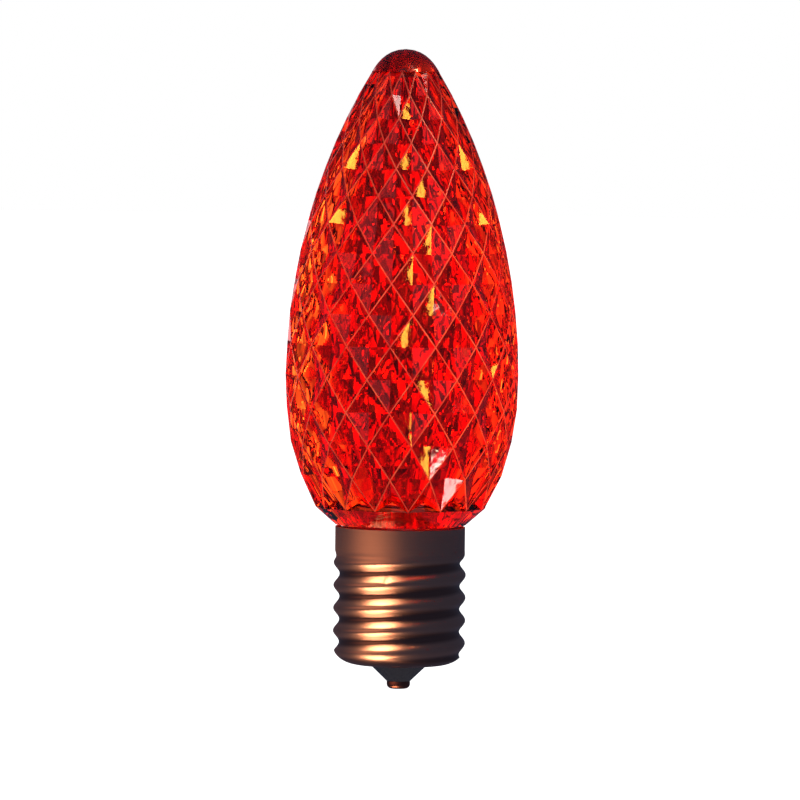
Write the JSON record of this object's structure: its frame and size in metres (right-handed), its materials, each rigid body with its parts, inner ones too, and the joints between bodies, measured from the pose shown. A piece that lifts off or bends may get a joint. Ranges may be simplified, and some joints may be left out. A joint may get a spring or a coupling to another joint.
{
  "type": "christmas light bulb",
  "caption": "Faceted red retrofit bulb for a string of festive lights, on an intermediate screw base.",
  "frame": {"origin": "centre of the centre contact's end face", "axes": "+Z along the bulb's axis from the contact to the tip of the lens; the front faces -Y"},
  "size_m": [0.0288, 0.0288, 0.0792],
  "materials": {
    "lens": "clear red, polished",
    "shell_metal": "bronzed, polished by the rolling",
    "insulator": "dark, moulded",
    "contact_metal": "satin",
    "holder": "white, moulded",
    "board": "white mask over laminate",
    "lamp_resin": "tinted clear resin",
    "tinned_wire": "tinned",
    "resistor_coat": "lacquered",
    "diode_body": "black moulding",
    "solder": "bright solder"
  },
  "bodies": {
    "root": {"lens": "lens", "screw_shell": "shell_metal", "insulator": "insulator", "centre_contact": "contact_metal", "led_holder": "holder", "circuit_board": "board", "led_1": "lamp_resin", "led_2": "lamp_resin", "led_3": "lamp_resin", "led_4": "lamp_resin", "led_5": "lamp_resin", "led_1_lead_a": "tinned_wire", "led_1_lead_b": "tinned_wire", "led_2_lead_a": "tinned_wire", "led_2_lead_b": "tinned_wire", "led_3_lead_a": "tinned_wire", "led_3_lead_b": "tinned_wire", "led_4_lead_a": "tinned_wire", "led_4_lead_b": "tinned_wire", "led_5_lead_a": "tinned_wire", "led_5_lead_b": "tinned_wire", "shell_wire": "tinned_wire", "resistor_1": "resistor_coat", "resistor_2": "resistor_coat", "rectifier_diode": "diode_body", "shell_solder": "solder", "contact_solder": "solder"}
  },
  "joints": []
}
